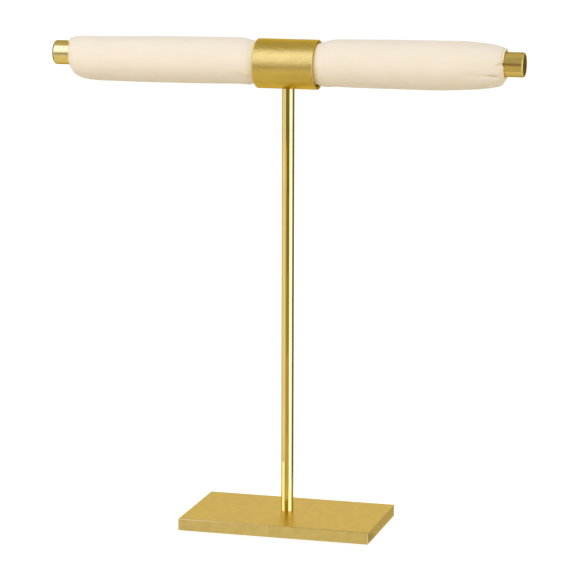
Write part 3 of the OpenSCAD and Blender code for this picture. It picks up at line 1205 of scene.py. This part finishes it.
@dataclass
class Studio:
    """Camera, lamps, cards, floor and world."""

    image_px: int = 580
    focal_px: float = 2627.8
    sensor: float = 36.0
    yaw: float = 15.41
    pitch: float = 10.25
    roll: float = 0.15
    distance: float = 1.0689
    aim: Vector = field(default_factory=lambda: Vector((0.93 * MM, 0, 99.0 * MM)))
    lamps: tuple[Softbox, ...] = (
        Softbox("key_softbox", -12, 47, 0.9, 0.9, 0.7, 4.0),
        Softbox("back_softbox", 172, 28, 0.9, 0.9, 0.6, 1.3),
        Softbox("right_softbox", 65, 8, 0.9, 0.6, 0.6, 1.4),
        Softbox("left_softbox", -65, 8, 0.9, 0.6, 0.6, 1.45),
    )
    panels: tuple[Panel, ...] = (
        Panel((-190, 190), (40, 100), (0.67, 0.67, 0.66), 12),
        Panel((-105, 105), (-2, 60), (0.7, 0.7, 0.69), 6),
        Panel((-190, 190), (-20, -2), (0.26, 0.26, 0.26), 4),
        Panel((-120, -27), (-30, 32), (1.4, 1.55, 3.8), 4),
        Panel((41, 101), (-30, 32), (1.45, 1.7, 3.2), 4),
    )
    sky: Color = (1.0, 1.0, 0.98)
    world_diffuse: float = 0.47
    floor_half: float = 8.0
    floor_glow: float = 0.88
    floor_color: float = 0.35
    floor_drop: float = 0.05 * MM
    bounce: Color = (0.85, 0.78, 0.62)
    table_drop: float = 0.06 * MM
    tables: tuple[tuple[str, float, float, float, float, Color], ...] = (
        ("table_front", -24 * MM, -8 * MM, 0.132, 0.13, (0.91, 0.93, 0.88)),
        ("table_right", 56 * MM, 32 * MM, 0.028, 0.07, (0.66, 0.65, 0.63)),
    )
    front: tuple[float, float] = (16 * MM, -60 * MM)
    front_glow: tuple[tuple[float, float, float], ...] = (
        (0.0, 25 * MM, 0.85),
        (25 * MM, 60 * MM, 0.68),
        (60 * MM, 95 * MM, 0.48),
        (95 * MM, 130 * MM, 0.34),
    )
    beside: tuple[float, float] = (90 * MM, -17 * MM)
    shades: tuple[tuple[str, float, float, Color], ...] = (
        ("right_shade_high", 197.5 * MM, 240 * MM, (0.5, 0.48, 0.4)),
        ("right_shade_dark", 191.5 * MM, 197.5 * MM, (0.23, 0.18, 0.1)),
        ("right_shade_low", 160 * MM, 191.5 * MM, (0.7, 0.64, 0.5)),
    )
    collars: tuple[Collar, ...] = (
        Collar("foot_glow_left", (-78, -24), (1.85, 2.3, 4.8), 27 * MM),
        Collar("foot_glow_right", (30, 79), (1.85, 2.5, 6.8), 15 * MM),
        Collar("post_glow_right", (34, 79), (2.0, 2.75, 10.0), 181.5 * MM, low=15 * MM),
    )

    def camera(self) -> None:
        """Places the camera where the photograph was taken from."""
        data = bpy.data.cameras.new("camera")
        data.sensor_fit = "HORIZONTAL"
        data.sensor_width = self.sensor
        data.lens = self.focal_px * self.sensor / self.image_px
        holder = bpy.data.objects.new("camera", data)
        bpy.context.scene.collection.objects.link(holder)
        turn = Matrix.Rotation(math.radians(self.roll), 4, "Z")
        holder.matrix_world = facing(self.aim, self.yaw, self.pitch, self.distance) @ turn
        bpy.context.scene.camera = holder

    def cards(self) -> None:
        """Places what the metal mirrors nearby: a lamp's face, the table top, glows and shades."""
        key = facing(self.aim, -29, 38, 0.85)
        Card("key_face", key, 0.6, 0.84, (1.78, 2.1, 5.4)).build()
        for name, x, y, width, depth, color in self.tables:
            top = Matrix.Translation((x, y, -self.table_drop))
            Card(name, top, width, depth, color).build()
        for low, high, glow in self.front_glow:
            Screen(f"front_glow_{glow}", *self.front, low, high, 0.057, (glow,) * 3).build()
        for name, low, high, color in self.shades:
            Screen(name, *self.beside, low, high, 0.018, color).build()
        left = (-28 * MM, -70 * MM)
        Screen("left_glow", *left, 8 * MM, 150 * MM, 0.033, (0.95, 0.93, 0.85)).build()
        sideways = Matrix.Rotation(math.pi / 2, 4, "Y")
        aside = Matrix.Translation((-106.5 * MM, -4 * MM, 193 * MM)) @ sideways
        Card("left_end_shade", aside, 0.024, 0.018, (0.3, 0.28, 0.25)).build()
        for collar in self.collars:
            collar.build()

    def world(self) -> None:
        """Makes a world that the camera sees white, metal as a studio, and matt surfaces dimmer."""
        made = bpy.data.worlds.new("studio_world")
        bpy.context.scene.world = made
        made.use_nodes = True
        made.node_tree.nodes.clear()
        desk = NodeDesk(made.node_tree)
        toward = desk.place("ShaderNodeTexCoord").outputs["Generated"]
        x, y, z = desk.place("ShaderNodeSeparateXYZ", {0: toward}).outputs
        azimuth = desk.math("DEGREES", desk.math("ARCTAN2", x, desk.math("MULTIPLY", y, -1.0)))
        elevation = desk.math("DEGREES", desk.math("ARCSINE", z))
        mirrored = (*self.sky, 1)
        for panel in self.panels:
            inside = desk.math(
                "MULTIPLY",
                window(desk, azimuth, panel.azimuth, panel.softness),
                window(desk, elevation, panel.elevation, panel.softness),
            )
            mirrored = desk.mix_color(inside, mirrored, (*panel.color, 1))
        rays = desk.place("ShaderNodeLightPath").outputs
        dim = (*(self.world_diffuse,) * 3, 1)
        direct = desk.math("MAXIMUM", rays["Is Camera Ray"], rays["Is Transmission Ray"])
        matt = desk.mix_color(direct, dim, (1, 1, 1, 1))
        seen = desk.mix_color(rays["Is Glossy Ray"], matt, mirrored)
        sky = desk.place("ShaderNodeBackground", {"Color": seen})
        desk.place("ShaderNodeOutputWorld", {"Surface": sky.outputs[0]})

    def floor(self) -> None:
        """Makes a pale floor that shows white and keeps the stand's soft shadow."""
        mesh = bmesh.new()
        bmesh.ops.create_grid(mesh, x_segments=1, y_segments=1, size=self.floor_half)
        bmesh.ops.translate(mesh, vec=(0, 0, -self.floor_drop), verts=mesh.verts)
        made, desk = blank_material("floor_paper")
        bounce = desk.place("ShaderNodeBsdfDiffuse", {"Color": (*self.bounce, 1)})
        paper = desk.place("ShaderNodeBsdfDiffuse", {"Color": (*(self.floor_color,) * 3, 1)})
        glow = desk.place("ShaderNodeEmission", {"Strength": self.floor_glow})
        shown = desk.place("ShaderNodeAddShader", {0: paper.outputs[0], 1: glow.outputs[0]})
        seen = desk.place("ShaderNodeLightPath").outputs["Is Camera Ray"]
        mixed = desk.place("ShaderNodeMixShader", {0: seen, 1: bounce.outputs[0], 2: shown.outputs[0]})
        desk.place("ShaderNodeOutputMaterial", {"Surface": mixed.outputs[0]})
        floor = mesh_object("floor", mesh, made)
        floor.visible_glossy = False

    def build(self) -> None:
        """Sets up the whole studio."""
        self.camera()
        self.world()
        self.floor()
        self.cards()
        for lamp in self.lamps:
            lamp.build(self.aim)
        bpy.context.scene.view_settings.view_transform = "Standard"
        LOG.info("studio with %d lamps and %d panels", len(self.lamps), len(self.panels))


def window(desk: NodeDesk, value: bpy.types.NodeSocket, span: tuple[float, float],
           softness: float) -> bpy.types.NodeSocket:
    """Masks a range of a value, with soft ends.

    Args:
        desk: Where the nodes go.
        value: The value, such as an angle in degrees.
        span: Lowest and highest value inside.
        softness: Half the width of each soft end.

    Returns:
        1 inside the range and 0 outside it.
    """
    rise = desk.spread(value, 0.0, 1.0, span[0] - softness, span[0] + softness)
    fall = desk.spread(value, 1.0, 0.0, span[1] - softness, span[1] + softness)
    return desk.math("MULTIPLY", rise, fall)


def main() -> None:
    """Builds the studio and dresses the stand."""
    logging.basicConfig(level=logging.INFO, format="%(name)s: %(message)s")
    Studio().build()
    MetalStand().dress()
    PaddedRoll().build()


if __name__ == "__main__":
    main()
